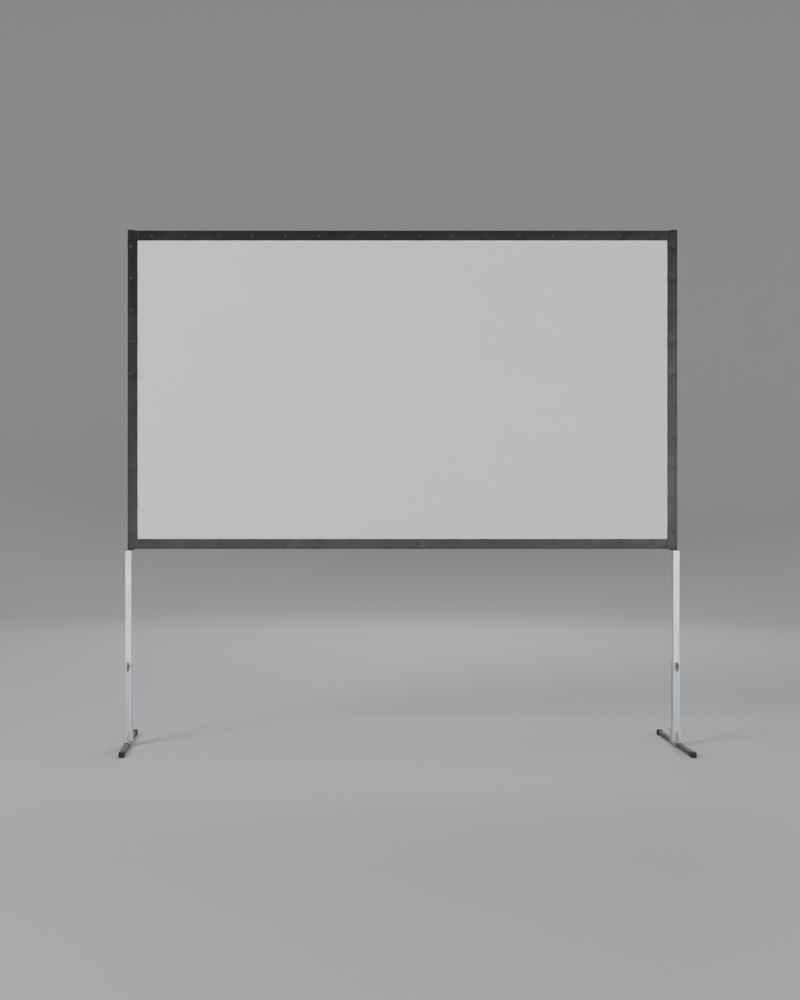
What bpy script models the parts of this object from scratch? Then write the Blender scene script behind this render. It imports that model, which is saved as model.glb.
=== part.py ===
# Fast-fold projection screen: a folding tube frame with a snapped-on surface, standing on two T legs.
# Metres, +Z up. X runs along the screen, the surface faces -Y, and the floor is z = 0.
# The origin is the middle of the floor area between the feet.

import math

import bmesh
import bpy
from mathutils import Matrix, Vector

# Overall sizes
view_width = 2.642
view_height = 1.488
border = 0.0508
frame_clearance = 0.985

# Frame tubes, all of one section
tube = 0.03175
tube_wall = 0.0018
tube_corner = 0.0026
side_inset = 0.0011
rail_inset = 0.012
sections = 4
butt_gap = 0.0006

# Clearances
gap = 0.0003
slide_gap = 0.0004
bore_gap = 0.0003
overrun = 0.002

# Frame hinges
hinge_rise = 0.0043
hinge_width = 0.026
knuckle_radius = 0.0038
middle_knuckle = 0.009
leaf_length = 0.045
leaf_thickness = 0.0016
pin_radius = 0.002
pin_head_radius = 0.0032
pin_head = 0.0012

# Projection surface, border strips and the studs that they snap on
sheet_thickness = 0.0008
seam = 0.012
strip_thickness = 0.001
strip_standoff = 0.003
corner_gap = 0.0003
studs_per_section = 4
studs_per_side = 10
stud_radius = 0.005

# Plugs in the tube ends
plug_head = 0.005
plug_spigot = 0.022
leg_cap_head = 0.003

# Legs
leg_inset = 0.003
sleeve_wall = 0.0029
sleeve_height = 0.3915
boss_size = 0.024
boss_depth = 0.005
knob_below_top = 0.021

# Brackets between the legs and the frame's side tubes
bracket_thickness = 0.006
bracket_margin = 0.001
bracket_down = 0.2
bracket_up = 0.32
bracket_outer_neck = 0.012
bracket_inner_neck = 0.004
clamp_heights = (0.08, 0.26)
bolt_depths = (0.05, 0.15)
bolt_radius = 0.003
bolt_head_radius = 0.0062
bolt_head = 0.004
bolt_reach = 0.006

# Wing knobs
knob_hub_radius = 0.0085
knob_hub_depth = 0.012
knob_wing_height = 0.046
knob_wing_width = 0.0105
knob_wing_depth = 0.009
knob_wing_lift = 0.007
screw_radius = 0.004
clamp_screw_reach = 0.007

# Feet
foot_tube = 0.022
foot_wall = 0.0018
foot_corner = 0.0025
foot_length = 0.674
foot_cap_wall = 0.0025
foot_cap_end = 0.005
foot_cap_depth = 0.035
socket_wall = 0.0035
socket_plate = 0.003
socket_flange_drop = 0.016
socket_half_length = 0.06
collar_height = 0.06
gusset_thickness = 0.005
gusset_height = 0.048
gusset_tip = 0.006
foot_bolt_place = 0.042
foot_bolt_drop = 0.009

# Facets of the round shapes
corner_steps = 2
pin_sides = 12
stud_sides = 10
hex_sides = 6
knob_sides = 20
screw_sides = 12

# Places worked out from the sizes above
half_width = view_width / 2 + border
frame_low = frame_clearance
frame_high = frame_low + view_height + 2 * border
side_middle = half_width - side_inset - tube / 2
side_inner = side_middle - tube / 2
rail_middle = {1: frame_high - rail_inset - tube / 2, -1: frame_low + rail_inset + tube / 2}
first_pivot = -side_inner + hinge_rise
pivot_pitch = (2 * side_inner - 2 * hinge_rise) / sections
front_face = -tube / 2
rear_face = tube / 2
strip_back = front_face - strip_standoff
strip_front = strip_back - strip_thickness
leg_middle = half_width - leg_inset
sleeve = tube + 2 * slide_gap + 2 * sleeve_wall
foot_low = foot_cap_wall + gap
foot_high = foot_low + foot_tube
socket_low = foot_high + gap
socket_high = socket_low + socket_plate
leg_low = socket_high + gap
leg_cap_top = frame_low - plug_head - gap
leg_top = leg_cap_top - leg_cap_head - gap
sleeve_top = leg_low + sleeve_height
knob_height = sleeve_top - knob_below_top
bracket_front = rear_face + gap

levels = {1: "top", -1: "bottom"}
sides = {-1: "left", 1: "right"}
ways = {-1: "front", 1: "rear"}


# Materials

def material(name, colour, roughness, metallic=0.0):
    made = bpy.data.materials.new(name)
    made.use_nodes = True
    shader = made.node_tree.nodes["Principled BSDF"]
    shader.inputs["Base Color"].default_value = (*colour, 1.0)
    shader.inputs["Roughness"].default_value = roughness
    shader.inputs["Metallic"].default_value = metallic
    made.diffuse_color = (*colour, 1.0)
    return made


# Meshes

def ring(bm, points):
    return [bm.verts.new(p) for p in points]


def circle(radius, facets, offset=0):
    """The points of a circle, turned on by a share of one facet."""
    turn = [2 * math.pi * (i + offset) / facets for i in range(facets)]
    return [(radius * math.cos(a), radius * math.sin(a)) for a in turn]


def rounded_square(size, corner):
    """The points of a square with rounded corners, in order round it."""
    half = size / 2 - corner
    bend = [step / corner_steps * math.pi / 2 for step in range(corner_steps + 1)]
    quarter = [(half + corner * math.cos(a), half + corner * math.sin(a)) for a in bend]
    points = []
    for _ in range(4):
        points += quarter
        quarter = [(-y, x) for x, y in quarter]
    return points


def prism(points, low, high):
    """A closed solid between two levels, over an outline of 2-D points."""
    bm = bmesh.new()
    face = bm.faces.new(ring(bm, [(x, y, low) for x, y in points]))
    grown = bmesh.ops.extrude_face_region(bm, geom=[face])["geom"]
    rise = Vector((0, 0, high - low))
    bmesh.ops.translate(bm, verts=[v for v in grown if isinstance(v, bmesh.types.BMVert)], vec=rise)
    return closed(bm)


def square_tube(size, wall, corner, low, high):
    """A hollow square tube along Z, open at both ends."""
    bm = bmesh.new()
    outer = rounded_square(size, corner)
    inner = rounded_square(size - 2 * wall, max(corner - wall, corner / 4))
    rings = [ring(bm, [(x, y, z) for x, y in points]) for z in (low, high) for points in (outer, inner)]
    count = len(outer)
    for a, b in ((0, 1), (1, 3), (3, 2), (2, 0)):
        for i in range(count):
            j = (i + 1) % count
            bm.faces.new((rings[a][i], rings[a][j], rings[b][j], rings[b][i]))
    return closed(bm)


def turned(profile, facets):
    """A solid of revolution about Z from (radius, height) points; it starts and ends on the axis."""
    bm = bmesh.new()
    rings = []
    for radius, height in profile:
        outline = circle(radius, facets) if radius else [(0, 0)]
        rings.append(ring(bm, [(x, y, height) for x, y in outline]))
    for low, high in zip(rings, rings[1:]):
        for i in range(facets):
            j = (i + 1) % facets
            corners = [low[i % len(low)], low[j % len(low)], high[j % len(high)], high[i % len(high)]]
            bm.faces.new(list(dict.fromkeys(corners)))
    return closed(bm)


def cylinder(radius, low, high, facets, offset=0):
    return prism(circle(radius, facets, offset), low, high)


def block(low, high):
    points = [(low[0], low[1]), (high[0], low[1]), (high[0], high[1]), (low[0], high[1])]
    return prism(points, low[2], high[2])


def closed(bm):
    bmesh.ops.recalc_face_normals(bm, faces=bm.faces)
    return bm


def placed(bm, matrix):
    """Move a mesh, and turn its faces outward again where the move mirrors it."""
    bmesh.ops.transform(bm, matrix=matrix, verts=bm.verts)
    return closed(bm)


def combined(base, others, operation):
    """The union or difference of a mesh with others, by one Boolean modifier that is applied."""
    tools = bpy.data.collections.new("tools")
    objects = []
    for bm in (base, *others):
        mesh = bpy.data.meshes.new("work")
        bm.to_mesh(mesh)
        bm.free()
        objects.append(bpy.data.objects.new("work", mesh))
    bpy.context.scene.collection.objects.link(objects[0])
    for other in objects[1:]:
        tools.objects.link(other)
    modifier = objects[0].modifiers.new("combine", "BOOLEAN")
    modifier.operation = operation
    modifier.solver = "EXACT"
    modifier.operand_type = "COLLECTION"
    modifier.collection = tools
    bpy.context.view_layer.update()
    evaluated = objects[0].evaluated_get(bpy.context.evaluated_depsgraph_get())
    result = bmesh.new()
    result.from_mesh(evaluated.to_mesh())
    evaluated.to_mesh_clear()
    for work in objects:
        mesh = work.data
        bpy.data.objects.remove(work)
        bpy.data.meshes.remove(mesh)
    bpy.data.collections.remove(tools)
    return result


def united(base, *others):
    return combined(base, others, "UNION")


def cut(base, *others):
    return combined(base, others, "DIFFERENCE")


def axes(origin, along, across, up):
    """The matrix that puts local X, Y and Z along three directions at a point."""
    turn = Matrix((along, across, up)).transposed().to_4x4()
    return Matrix.Translation(origin) @ turn


def facing(origin, direction):
    """The matrix that turns local Z to a direction along Y."""
    return axes(origin, (1, 0, 0), (0, 0, 1), (0, direction, 0))


def moved(bm, x=0, y=0, z=0):
    return placed(bm, Matrix.Translation((x, y, z)))


# Objects

def empty(name, place, parent=None):
    """A joint's empty, on the joint's axis."""
    made = bpy.data.objects.new(name, None)
    bpy.context.scene.collection.objects.link(made)
    made["place"] = place
    made.parent = parent
    made.location = Vector(place) - Vector(parent["place"] if parent else (0, 0, 0))
    return made


def add(name, bm, look, parent, smooth=True):
    """An object from a mesh in world places, with its origin on its joint's empty."""
    place = Vector(parent["place"])
    bmesh.ops.translate(bm, verts=bm.verts, vec=-place)
    mesh = bpy.data.meshes.new(name)
    bm.to_mesh(mesh)
    bm.free()
    mesh.materials.append(look)
    if smooth:
        mesh.shade_smooth()
        mesh.set_sharp_from_angle(angle=math.radians(30))
    made = bpy.data.objects.new(name, mesh)
    bpy.context.scene.collection.objects.link(made)
    made.parent = parent
    return made


# Frame geometry

def pivot(level, number):
    """The place of one rail hinge: even ones on the rail's inner face, odd ones on its outer face."""
    away = -level if number % 2 == 0 else level
    height = rail_middle[level] + away * (tube / 2 + hinge_rise)
    return Vector((first_pivot + number * pivot_pitch, 0, height))


def section_ends(number):
    """Where a rail section starts and ends along X."""
    start = -side_inner + butt_gap if number == 1 else pivot(1, number - 1).x + butt_gap / 2
    end = side_inner - butt_gap if number == sections else pivot(1, number).x - butt_gap / 2
    return start, end


def leaf(place, along, up, outer_knuckles):
    """One hinge leaf on a tube's face: its plate, tongues and knuckles, and the cutter of its bore."""
    half = hinge_width / 2
    inner = middle_knuckle / 2
    root = knuckle_radius + bore_gap + gap
    if outer_knuckles:
        spans = [(-half, -inner - gap / 2), (inner + gap / 2, half)]
    else:
        spans = [(-inner + gap / 2, inner - gap / 2)]
    face = -hinge_rise
    high = face + leaf_thickness
    plate = block((root, -half, face - tube_wall / 2), (leaf_length, half, high))
    start = pin_radius / 2
    tongues = [block((start, a + gap, face + gap), (root + gap, b - gap, high - gap)) for a, b in spans]
    turn = facing((0, 0, 0), 1)
    knuckles = [placed(cylinder(knuckle_radius, a, b, pin_sides), turn) for a, b in spans]
    bore = placed(cylinder(pin_radius + bore_gap, -half - overrun, half + overrun, pin_sides, 1 / 2), turn)
    where = axes(place, along, Vector(up).cross(Vector(along)), up)
    return [placed(bm, where) for bm in (plate, *tongues, *knuckles)], placed(bore, where)


def rail_leaf(level, number, side):
    """The leaf of one hinge on the rail section to its left (-1) or right (1)."""
    up = -level if number % 2 == 0 else level
    outer = side < 0 and number < sections
    return leaf(pivot(level, number), (side, 0, 0), (0, 0, up), outer)


def corner_leaf(level, side):
    """The leaf of a corner hinge on the inner face of a side tube."""
    number = 0 if side < 0 else sections
    return leaf(pivot(level, number), (0, 0, -level), (-side, 0, 0), True)


def with_leaves(body, leaves, studs):
    """A tube with its hinge leaves and snap studs as one solid, bored for the hinge pins."""
    solids = [bm for parts, _ in leaves for bm in parts]
    return cut(united(body, *solids, *studs), *(bore for _, bore in leaves))


def hinge_pin(level, number):
    half = hinge_width / 2
    profile = [
        (0, -half - gap - pin_head),
        (pin_head_radius, -half - gap - pin_head),
        (pin_head_radius, -half - gap),
        (pin_radius, -half - gap),
        (pin_radius, half + gap),
        (pin_head_radius, half + gap),
        (pin_head_radius, half + gap + pin_head),
        (0, half + gap + pin_head),
    ]
    return placed(turned(profile, pin_sides), facing(pivot(level, number), 1))


def stud(x, z):
    """A snap stud on a tube's front face, just short of the border strip."""
    body = cylinder(stud_radius, -tube_wall / 2, strip_standoff - gap, stud_sides)
    return placed(body, facing((x, front_face, z), -1))


def stud_places(number):
    """Where the studs of a rail section sit along X."""
    step = pivot_pitch / studs_per_section
    start = first_pivot + (number - 1) * pivot_pitch
    return [start + (i + 1 / 2) * step for i in range(studs_per_section)]


def stud_heights():
    """Where the studs of a side tube sit along Z."""
    step = (frame_high - frame_low) / studs_per_side
    return [frame_low + (i + 1 / 2) * step for i in range(studs_per_side)]


# Pieces of the frame

def rail_section(level, number, parent, looks):
    """One section of a rail: its tube with a hinge leaf at each end and its snap studs."""
    start, end = section_ends(number)
    turn = axes((0, 0, rail_middle[level]), (0, 0, 1), (0, 1, 0), (1, 0, 0))
    body = placed(square_tube(tube, tube_wall, tube_corner, start, end), turn)
    leaves = [rail_leaf(level, number - 1, 1), rail_leaf(level, number, -1)]
    studs = [stud(x, rail_middle[level]) for x in stud_places(number)]
    add(f"{levels[level]}_rail_{number}", with_leaves(body, leaves, studs), looks["aluminium"], parent)
    if number < sections:
        add(f"{levels[level]}_hinge_pin_{number}", hinge_pin(level, number), looks["pin"], parent)


def strip(low, high):
    """A border strip between two corners in X and Z, in front of the tubes."""
    return block((low[0], strip_front, low[1]), (high[0], strip_back, high[1]))


def side_strip(side):
    """A strip that runs the whole height of one side."""
    edges = sorted((side * half_width, side * (half_width - border)))
    return strip((edges[0], frame_low), (edges[1], frame_high))


def rail_strip(level):
    """The top or bottom strip, between the side strips."""
    edge = frame_high if level > 0 else frame_low
    edges = sorted((edge, edge - level * border))
    reach = half_width - border - corner_gap
    return strip((-reach, edges[0]), (reach, edges[1]))


def surface():
    reach = view_width / 2 + seam
    front = strip_back + gap
    low = (-reach, front, frame_low + border - seam)
    high = (reach, front + sheet_thickness, frame_high - border + seam)
    return block(low, high)


def plug(place, up, head):
    """A plug for a tube's end: a head the size of the tube and a spigot inside it."""
    inner = tube - 2 * tube_wall - 2 * gap
    spigot = prism(rounded_square(inner, tube_corner / 2), -plug_spigot, head / 2)
    cover = prism(rounded_square(tube, tube_corner), gap, head)
    return placed(united(cover, spigot), axes(place, (1, 0, 0), (0, 1, 0), (0, 0, up)))


def side_tube(side):
    """A side of the frame: its tube with the two corner leaves and its snap studs."""
    x = side * side_middle
    body = moved(square_tube(tube, tube_wall, tube_corner, frame_low, frame_high), x)
    leaves = [corner_leaf(level, side) for level in levels]
    studs = [stud(x, z) for z in stud_heights()]
    holes = [hole(screw_radius, x, z, rear_face - 2 * tube_wall, rear_face + overrun) for z in clamp_places()]
    return cut(with_leaves(body, leaves, studs), *holes)


def hole(radius, x, z, start, end):
    """A cutter for a screw's hole along Y."""
    return placed(cylinder(radius + bore_gap, start, end, screw_sides), facing((x, 0, z), 1))


def clamp_places():
    return [frame_low + height for height in clamp_heights]


def bolt_places():
    return [frame_low - depth for depth in bolt_depths]


def bracket(side):
    """The steel plate that carries a side tube on its leg, jogged between the two."""
    half = tube / 2 - bracket_margin
    jog = leg_middle - side_middle
    low = frame_low - bracket_down
    high = frame_low + bracket_up
    outer_neck = frame_low - bracket_outer_neck
    inner_neck = frame_low - bracket_inner_neck
    outline = [
        (side * (leg_middle + half), low),
        (side * (leg_middle + half), outer_neck),
        (side * (side_middle + half), outer_neck + jog),
        (side * (side_middle + half), high),
        (side * (side_middle - half), high),
        (side * (side_middle - half), inner_neck + jog),
        (side * (leg_middle - half), inner_neck),
        (side * (leg_middle - half), low),
    ]
    rear = bracket_front + bracket_thickness
    plate = placed(prism(outline, -rear, -bracket_front), facing((0, 0, 0), -1))
    through = bracket_front - overrun, rear + overrun
    holes = [hole(screw_radius, side * side_middle, z, *through) for z in clamp_places()]
    holes += [hole(bolt_radius, side * leg_middle, z, *through) for z in bolt_places()]
    return cut(plate, *holes)


def upper_leg(side):
    x = side * leg_middle
    body = moved(square_tube(tube, tube_wall, tube_corner, leg_low, leg_top), x)
    holes = [hole(bolt_radius, x, z, rear_face - 2 * tube_wall, rear_face + overrun) for z in bolt_places()]
    return cut(body, *holes)


def bolt(reach, head_gap=gap):
    """A hexagon bolt along Z: its head stands on z = 0 and its shank goes down to -reach."""
    head = cylinder(bolt_head_radius, head_gap, head_gap + bolt_head, hex_sides)
    shank = cylinder(bolt_radius, -reach, head_gap + bolt_head / 2, screw_sides)
    return united(head, shank)


def frame_side(side, parent, looks):
    name = sides[side]
    add(f"{name}_side_tube", side_tube(side), looks["aluminium"], parent)
    x = side * side_middle
    add(f"{name}_top_plug", plug((x, 0, frame_high), 1, plug_head), looks["plastic"], parent)
    add(f"{name}_bottom_plug", plug((x, 0, frame_low), -1, plug_head), looks["plastic"], parent)
    cap = plug((side * leg_middle, 0, leg_top), 1, leg_cap_head + gap)
    add(f"{name}_leg_cap", cap, looks["plastic"], parent)
    add(f"{name}_upper_leg", upper_leg(side), looks["aluminium"], parent)
    add(f"{name}_leg_bracket", bracket(side), looks["painted"], parent)
    rear = bracket_front + bracket_thickness
    for number, z in enumerate(bolt_places()):
        body = placed(bolt(bracket_thickness + bolt_reach), facing((side * leg_middle, rear, z), 1))
        add(f"{name}_bracket_bolt_{number + 1}", body, looks["pin"], parent)
    add(f"{name}_border", side_strip(side), looks["border"], parent, smooth=False)
    corner = 0 if side < 0 else sections
    for level in levels:
        add(f"{levels[level]}_{name}_corner_pin", hinge_pin(level, corner), looks["pin"], parent)


# Knobs, and the legs' lower parts

def wing_knob(reach):
    """A wing knob along Z: screw tip at -reach, hub on z = gap, and a wing along X across its end."""
    ellipse = [(x, y * knob_wing_width / knob_wing_height) for x, y in circle(knob_wing_height / 2, knob_sides)]
    wing = prism(ellipse, gap + knob_wing_lift, gap + knob_wing_lift + knob_wing_depth)
    hub = cylinder(knob_hub_radius, gap, gap + knob_hub_depth, knob_sides)
    screw = cylinder(screw_radius, -reach, gap + knob_hub_depth / 2, screw_sides)
    return united(hub, wing, screw)


def height_knob(side, parent, looks):
    face = -sleeve / 2 - boss_depth
    reach = boss_depth + sleeve_wall + slide_gap - gap
    turn = axes(
        (side * leg_middle, face, knob_height), (0, 0, 1), (1, 0, 0), (0, -1, 0)
    )
    body = placed(wing_knob(reach), turn)
    add(f"{sides[side]}_height_knob", body, looks["knob"], parent)


def clamp_knob(side, number, parent, looks):
    face = bracket_front + bracket_thickness
    reach = bracket_thickness + clamp_screw_reach
    turn = axes(
        (side * side_middle, face, clamp_places()[number]), (0, 0, 1), (1, 0, 0), (0, 1, 0)
    )
    body = placed(wing_knob(reach), turn)
    add(f"{sides[side]}_clamp_knob_{number + 1}", body, looks["knob"], parent)


def lower_leg(side):
    """The sleeve that the upper leg slides in, with the boss that its lock knob screws through."""
    x = side * leg_middle
    body = moved(square_tube(sleeve, sleeve_wall, tube_corner, leg_low, sleeve_top), x)
    front = -sleeve / 2 - boss_depth
    boss = block(
        (x - boss_size / 2, front, knob_height - boss_size / 2),
        (x + boss_size / 2, -sleeve / 2 + sleeve_wall / 2, knob_height + boss_size / 2),
    )
    bore = hole(screw_radius, x, knob_height, front - overrun, -sleeve / 2 + 2 * sleeve_wall)
    return cut(united(body, boss), bore)


def socket(side):
    """The bracket at the leg's foot: a saddle over the foot tube, a collar and two gussets."""
    half = foot_tube / 2 + gap
    wide = half + socket_wall
    saddle = block(
        (-wide, -socket_half_length, foot_high - socket_flange_drop),
        (wide, socket_half_length, socket_high),
    )
    channel = block(
        (-half, -socket_half_length - overrun, foot_high - socket_flange_drop - overrun),
        (half, socket_half_length + overrun, socket_low),
    )
    inner = sleeve + 2 * gap
    outer = inner + 2 * socket_wall
    collar = square_tube(outer, socket_wall, tube_corner, socket_high - socket_plate / 2, socket_high + collar_height)
    parts = [collar]
    for way in (-1, 1):
        near = outer / 2 - socket_wall / 2
        outline = [
            (near, socket_high - socket_plate / 2),
            (socket_half_length, socket_high - socket_plate / 2),
            (socket_half_length, socket_high + gusset_tip),
            (near, socket_high + gusset_height),
        ]
        rib = prism(outline, -gusset_thickness / 2, gusset_thickness / 2)
        parts.append(placed(rib, axes((0, 0, 0), (0, way, 0), (0, 0, 1), (1, 0, 0))))
    whole = united(cut(saddle, channel), *parts)
    return moved(cut(whole, *foot_bolt_holes(0)), side * leg_middle)


def foot_bolt_holes(x):
    """Cutters for the cross bolts that hold the socket on the foot tube."""
    reach = foot_tube / 2 + socket_wall + overrun
    turn = axes((0, 0, 0), (0, 1, 0), (0, 0, 1), (1, 0, 0))
    bolts = [cylinder(bolt_radius + bore_gap, -reach, reach, screw_sides) for _ in ways]
    height = foot_high - foot_bolt_drop
    return [moved(placed(bm, turn), x, way * foot_bolt_place, height) for bm, way in zip(bolts, ways)]


def foot(side):
    end = foot_length / 2 - foot_cap_end - gap
    x = side * leg_middle
    body = square_tube(foot_tube, foot_wall, foot_corner, -end, end)
    return cut(placed(body, facing((x, 0, foot_low + foot_tube / 2), 1)), *foot_bolt_holes(x))


def foot_cap(side, way):
    """A cup that closes one end of the foot tube and rests on the floor."""
    inner = foot_tube + 2 * gap
    outer = inner + 2 * foot_cap_wall
    corner = foot_corner + foot_cap_wall
    cup = prism(rounded_square(outer, corner), 0, foot_cap_depth)
    pocket = prism(rounded_square(inner, foot_corner), -overrun, foot_cap_depth - foot_cap_end)
    start = way * (foot_length / 2 - foot_cap_depth)
    centre = (side * leg_middle, start, foot_low + foot_tube / 2)
    return placed(cut(cup, pocket), facing(centre, way))


def foot_bolt(side, way):
    """A cross bolt through the socket and the foot tube, its head on the outer side."""
    face = side * (leg_middle + foot_tube / 2 + gap + socket_wall)
    reach = foot_tube + 2 * gap + 2 * socket_wall
    place = (face, way * foot_bolt_place, foot_high - foot_bolt_drop)
    return placed(bolt(reach), axes(place, (0, side, 0), (0, 0, 1), (side, 0, 0)))


def leg_base(side, parent, looks):
    name = sides[side]
    add(f"{name}_foot_tube", foot(side), looks["painted"], parent)
    for way in ways:
        add(f"{name}_{ways[way]}_foot_cap", foot_cap(side, way), looks["rubber"], parent)
        add(f"{name}_{ways[way]}_foot_bolt", foot_bolt(side, way), looks["pin"], parent)
    add(f"{name}_foot_socket", socket(side), looks["plated"], parent)
    add(f"{name}_lower_leg", lower_leg(side), looks["aluminium"], parent)


def make_looks():
    return {
        "aluminium": material("aluminium", (0.62, 0.64, 0.67), 0.35, 1.0),
        "plated": material("plated_steel", (0.55, 0.56, 0.57), 0.3, 1.0),
        "pin": material("pin_steel", (0.45, 0.45, 0.46), 0.25, 1.0),
        "painted": material("charcoal_paint", (0.06, 0.06, 0.065), 0.45),
        "plastic": material("black_plastic", (0.02, 0.02, 0.02), 0.5),
        "knob": material("knob_plastic", (0.018, 0.018, 0.018), 0.4),
        "rubber": material("black_rubber", (0.012, 0.012, 0.012), 0.7),
        "border": material("border_webbing", (0.03, 0.03, 0.032), 0.6),
        "surface": material("screen_surface", (0.85, 0.86, 0.87), 0.85),
    }


def build():
    for old in list(bpy.data.objects):
        bpy.data.objects.remove(old)
    looks = make_looks()

    left_base = empty("left_leg_joint", (-leg_middle, 0, 0))
    leg_base(-1, left_base, looks)
    left_frame = empty("height_joint", (-leg_middle, 0, leg_low), left_base)
    frame_side(-1, left_frame, looks)

    holders = {}
    for level in levels:
        holder = left_frame
        for number in range(1, sections + 1):
            name = f"{levels[level]}_hinge_{number - 1}"
            holder = empty(name, pivot(level, number - 1), holder)
            rail_section(level, number, holder, looks)
        holders[level] = holder
    right_frame = empty("top_hinge_last", pivot(1, sections), holders[1])
    frame_side(1, right_frame, looks)
    right_base = empty("right_leg_joint", (leg_middle, 0, leg_low), right_frame)
    leg_base(1, right_base, looks)

    for side, base, frame in ((-1, left_base, left_frame), (1, right_base, right_frame)):
        name = sides[side]
        place = (side * leg_middle, -sleeve / 2, knob_height)
        height_knob(side, empty(f"{name}_height_knob_joint", place, base), looks)
        for number in range(len(clamp_heights)):
            place = (side * side_middle, bracket_front, clamp_places()[number])
            turning = empty(f"{name}_clamp_knob_{number + 1}_joint", place, frame)
            clamp_knob(side, number, turning, looks)

    add("projection_surface", surface(), looks["surface"], left_frame, smooth=False)
    for level in levels:
        add(f"{levels[level]}_border", rail_strip(level), looks["border"], left_frame, smooth=False)


build()
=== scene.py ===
import math

import bmesh
import bpy
from mathutils import Matrix, Vector


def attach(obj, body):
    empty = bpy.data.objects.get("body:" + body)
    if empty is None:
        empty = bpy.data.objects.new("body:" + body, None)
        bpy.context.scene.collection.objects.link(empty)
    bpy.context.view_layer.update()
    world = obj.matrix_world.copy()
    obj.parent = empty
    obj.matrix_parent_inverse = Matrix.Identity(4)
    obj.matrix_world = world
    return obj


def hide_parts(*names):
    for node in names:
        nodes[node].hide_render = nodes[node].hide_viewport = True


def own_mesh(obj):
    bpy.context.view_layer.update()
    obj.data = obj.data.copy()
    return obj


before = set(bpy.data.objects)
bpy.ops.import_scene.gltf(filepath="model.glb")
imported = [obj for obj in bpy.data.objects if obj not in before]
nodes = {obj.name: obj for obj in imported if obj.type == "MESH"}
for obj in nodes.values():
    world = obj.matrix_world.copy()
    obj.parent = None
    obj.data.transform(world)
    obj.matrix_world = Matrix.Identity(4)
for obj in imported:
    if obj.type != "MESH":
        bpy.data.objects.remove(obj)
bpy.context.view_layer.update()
print("frame loaded")


# Camera, as the photograph was taken: level and square to the screen, left of its middle, with a shifted frame

cameraSetup = {
    "place": (-0.590, -7.577, 1.332),
    "lens": 54.52,
    "sensor": 36,
    "shift": (0.1158, -0.0205),
    "farthest": 60,
}


def makeCamera():
    bpy.ops.object.camera_add(location=cameraSetup["place"], rotation=(math.pi / 2, 0, 0))
    camera = bpy.context.object
    camera.data.lens = cameraSetup["lens"]
    camera.data.sensor_width = cameraSetup["sensor"]
    camera.data.shift_x, camera.data.shift_y = cameraSetup["shift"]
    camera.data.clip_end = cameraSetup["farthest"]
    bpy.context.scene.camera = camera


# Hand tools: choosing, shaping and placing pieces

tools = {
    "smoothAngle": 38,
    "flatAngle": 1,
    "faceLean": 0.9,        # how much of a normal has to point one way for its face to be picked
    "edgeLean": 0.999,
    "double": 0.00001,
    "sliver": 0.000003,
    "seed": 0.001,          # the size of the plane that becomes a profile's first point
}


def alone(piece):
    bpy.ops.object.select_all(action="DESELECT")
    piece.select_set(True)
    bpy.context.view_layer.objects.active = piece


def openEdit(piece, kind="FACE"):
    alone(piece)
    bpy.ops.object.mode_set(mode="EDIT")
    bpy.ops.mesh.select_mode(type=kind)
    bpy.ops.mesh.select_all(action="DESELECT")


def closeEdit():
    bpy.ops.object.mode_set(mode="OBJECT")


def pick(piece, test):
    # in the open edit mode, selects what passes the test
    mesh = bmesh.from_edit_mesh(piece.data)
    byVertex, byEdge, _ = bpy.context.tool_settings.mesh_select_mode
    for item in mesh.verts if byVertex else mesh.edges if byEdge else mesh.faces:
        if test(item):
            item.select_set(True)
    mesh.select_flush_mode()
    bmesh.update_edit_mesh(piece.data)


def facesAlong(axis, way=0):
    # the faces that look along an axis: one way only, or both ways with 0
    def test(face):
        lean = face.normal[axis]
        return (lean * way if way else abs(lean)) > tools["faceLean"]
    return test


def runsAlong(axis):
    # the edges that lie along an axis
    def test(edge):
        span = edge.verts[1].co - edge.verts[0].co
        return abs(span[axis]) > tools["edgeLean"] * span.length
    return test


def settle():
    # puts the active piece's place, turn and size into its mesh
    bpy.ops.object.transform_apply(location=True, rotation=True, scale=True)
    return bpy.context.object


def addBox(low, high):
    bpy.ops.object.select_all(action="DESELECT")
    middle = [(a + b) / 2 for a, b in zip(low, high)]
    bpy.ops.mesh.primitive_cube_add(size=1, location=middle, scale=[b - a for a, b in zip(low, high)])
    return settle()


def addCylinder(sideCount, radius, low, high, axis=2):
    # a closed prism from low to high along an axis
    middle = [0, 0, 0]
    middle[axis] = (low + high) / 2
    turn = [(0, math.pi / 2, 0), (math.pi / 2, 0, 0), (0, 0, 0)][axis]
    bpy.ops.object.select_all(action="DESELECT")
    bpy.ops.mesh.primitive_cylinder_add(vertices=sideCount, radius=radius, depth=high - low,
                                        location=middle, rotation=turn)
    return settle()


def addGrid(counts, size, middle):
    # an upright grid that faces the front
    bpy.ops.object.select_all(action="DESELECT")
    bpy.ops.mesh.primitive_grid_add(x_subdivisions=counts[0], y_subdivisions=counts[1], size=1, location=middle,
                                    rotation=(math.pi / 2, 0, 0))
    bpy.context.object.scale = (*size, 1)
    return settle()


def applied(piece, kind, **values):
    # adds a modifier, sets its values and applies it
    alone(piece)
    modifier = piece.modifiers.new("shaping", kind)
    for title, value in values.items():
        setattr(modifier, title, value)
    bpy.ops.object.modifier_apply(modifier=modifier.name)


def smoothFaces(angle=tools["smoothAngle"]):
    bpy.ops.object.shade_smooth_by_angle(angle=math.radians(angle))


def evenNormals(piece):
    # smooth rounds beside faces that stay flat
    smoothFaces()
    applied(piece, "WEIGHTED_NORMAL", keep_sharp=True)


def mergeDoubles(piece, reach):
    openEdit(piece)
    bpy.ops.mesh.select_all(action="SELECT")
    bpy.ops.mesh.remove_doubles(threshold=reach)
    closeEdit()


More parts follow.
